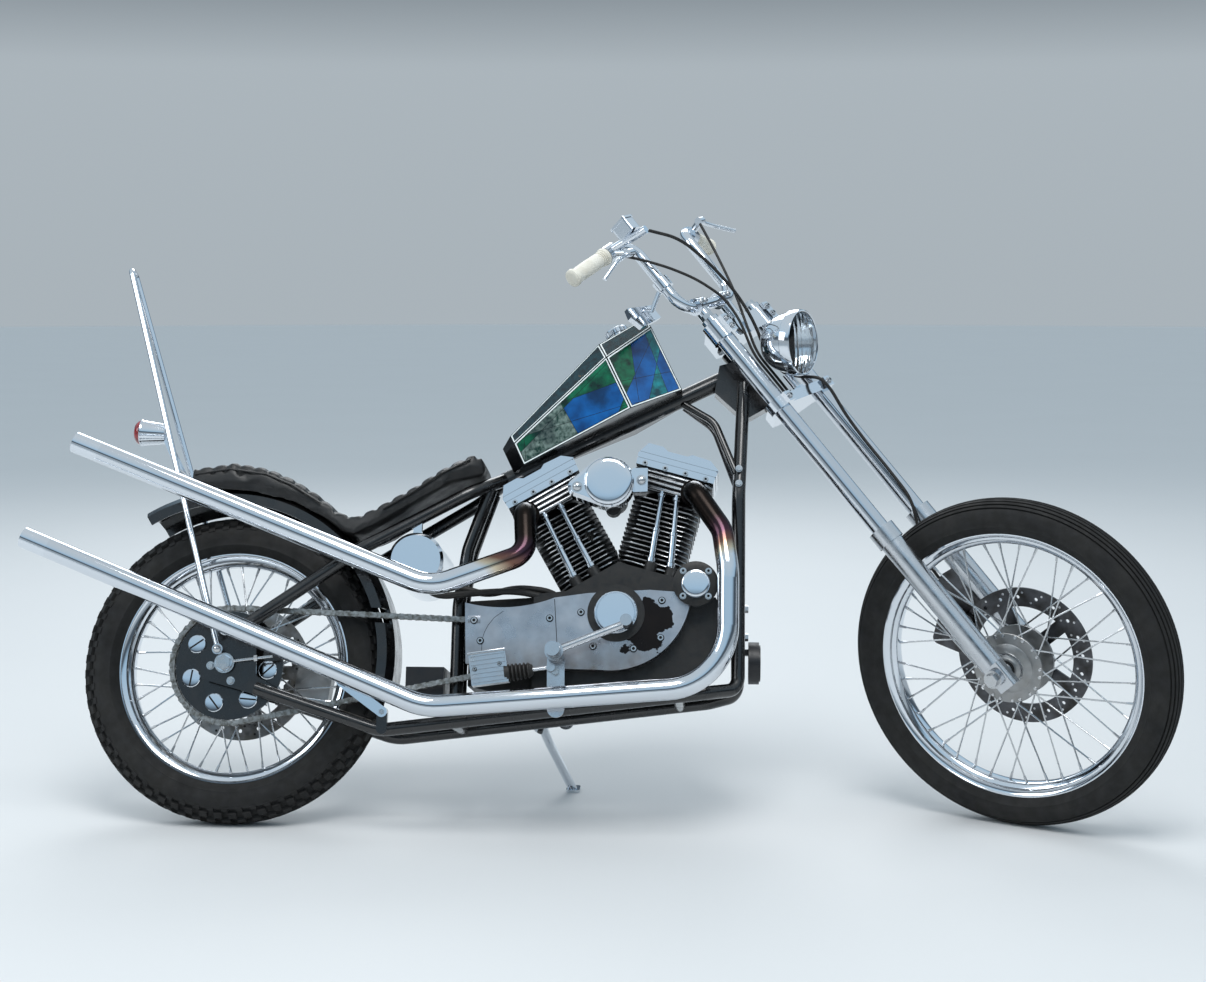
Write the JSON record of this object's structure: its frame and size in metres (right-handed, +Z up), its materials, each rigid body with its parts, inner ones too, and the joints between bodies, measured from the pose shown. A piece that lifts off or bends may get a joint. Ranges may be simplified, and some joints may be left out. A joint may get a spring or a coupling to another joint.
{
  "type": "chopper motorcycle",
  "caption": "Long-fork chopper motorcycle with a 45-degree V-twin engine, wire-spoked wheels, faceted fuel tank, tall backrest bar and twin straight exhausts, leaning on its side stand.",
  "frame": {"origin": "on the ground, under the middle of the parked outline", "axes": "+X to the front of the bike, +Y to its left, +Z up; the bike leans 18 degrees to its left on its side stand and its steering is turned right"},
  "size_m": [2.3725, 0.778, 1.2755],
  "materials": {
    "tyre": "black tyre rubber",
    "chrome": "bright chrome plate",
    "frame_black": "gloss black paint",
    "fork_steel": "hard chrome fork tubes",
    "slider_alloy": "polished aluminium",
    "disc_steel": "ground brake steel",
    "tank_paint": "gloss blue and green faceted paint with white lines",
    "engine_black": "black engine paint with bright fin edges",
    "cover_alloy": "worn satin aluminium",
    "seat_cover": "black pleated seat cover",
    "grip_white": "off-white rubber grips",
    "lens_glass": "fluted headlamp glass",
    "red_lens": "red tail lens",
    "chain_steel": "oiled chain steel",
    "black_plastic": "black plastic and rubber"
  },
  "bodies": {
    "frame": {"air_cleaner": "chrome", "axle_plates": "frame_black", "battery_box": "black_plastic", "carburettor": "engine_black", "crankcase": "engine_black", "cylinder_heads": "engine_black", "cylinders": "engine_black", "drive_chain": "chain_steel", "exhaust_lower": "chrome", "exhaust_tips": "chrome", "exhaust_upper": "chrome", "foot_controls": "chrome", "frame_backbone": "frame_black", "frame_downtubes": "frame_black", "frame_neck": "frame_black", "frame_rails": "frame_black", "frame_seat_posts": "frame_black", "frame_seat_stays": "frame_black", "horn": "black_plastic", "oil_hoses": "black_plastic", "oil_tank": "chrome", "primary_cover": "cover_alloy", "pushrod_tubes": "chrome", "rear_axle": "chrome", "rear_caliper": "slider_alloy", "rear_fender": "frame_black", "rear_master_cylinder": "slider_alloy", "right_engine_cover": "cover_alloy", "rocker_covers": "chrome", "round_covers": "chrome", "seat": "seat_cover", "sissy_bar": "chrome", "stand_bracket": "frame_black", "tail_lamp": "chrome", "tail_lens": "red_lens", "tank": "tank_paint", "tank_cap": "chrome"},
    "fork": {"fork_tubes": "fork_steel", "fork_sliders": "slider_alloy", "upper_clamp": "chrome", "lower_clamp": "chrome", "front_axle": "chrome", "front_caliper": "slider_alloy", "handlebar": "chrome", "grips": "grip_white", "headlamp_shell": "chrome", "headlamp_lens": "lens_glass", "hand_controls": "chrome", "mirror": "chrome", "fork_cables": "black_plastic"},
    "front_wheel": {"front_tyre": "tyre", "front_rim": "chrome", "front_hub_spokes": "chrome", "front_brake_disc": "disc_steel"},
    "rear_wheel": {"rear_tyre": "tyre", "rear_rim": "chrome", "rear_hub_spokes": "chrome", "rear_brake_disc": "disc_steel", "rear_sprocket": "disc_steel"},
    "side_stand": {"side_stand": "chrome"}
  },
  "joints": [
    {"name": "steering", "type": "hinge", "parent": "frame", "child": "fork", "pos_m": [0.3376, 0.03268, 0.92638], "axis": [-0.6218, 0.242, 0.7448], "range_deg": [0, 76.2]},
    {"name": "front_wheel_spin", "type": "hinge", "parent": "fork", "child": "front_wheel", "pos_m": [0.87764, -0.18706, 0.34771], "axis": [0.4832, 0.867, 0.1217], "continuous": true},
    {"name": "rear_wheel_spin", "type": "hinge", "parent": "frame", "child": "rear_wheel", "pos_m": [-0.7542, -0.16706, 0.31164], "axis": [0, 0.9511, -0.309], "continuous": true},
    {"name": "side_stand_fold", "type": "hinge", "parent": "frame", "child": "side_stand", "pos_m": [-0.1142, -0.05689, 0.17175], "axis": [0.185, 0.7866, 0.5892], "range_deg": [0, 88]}
  ]
}
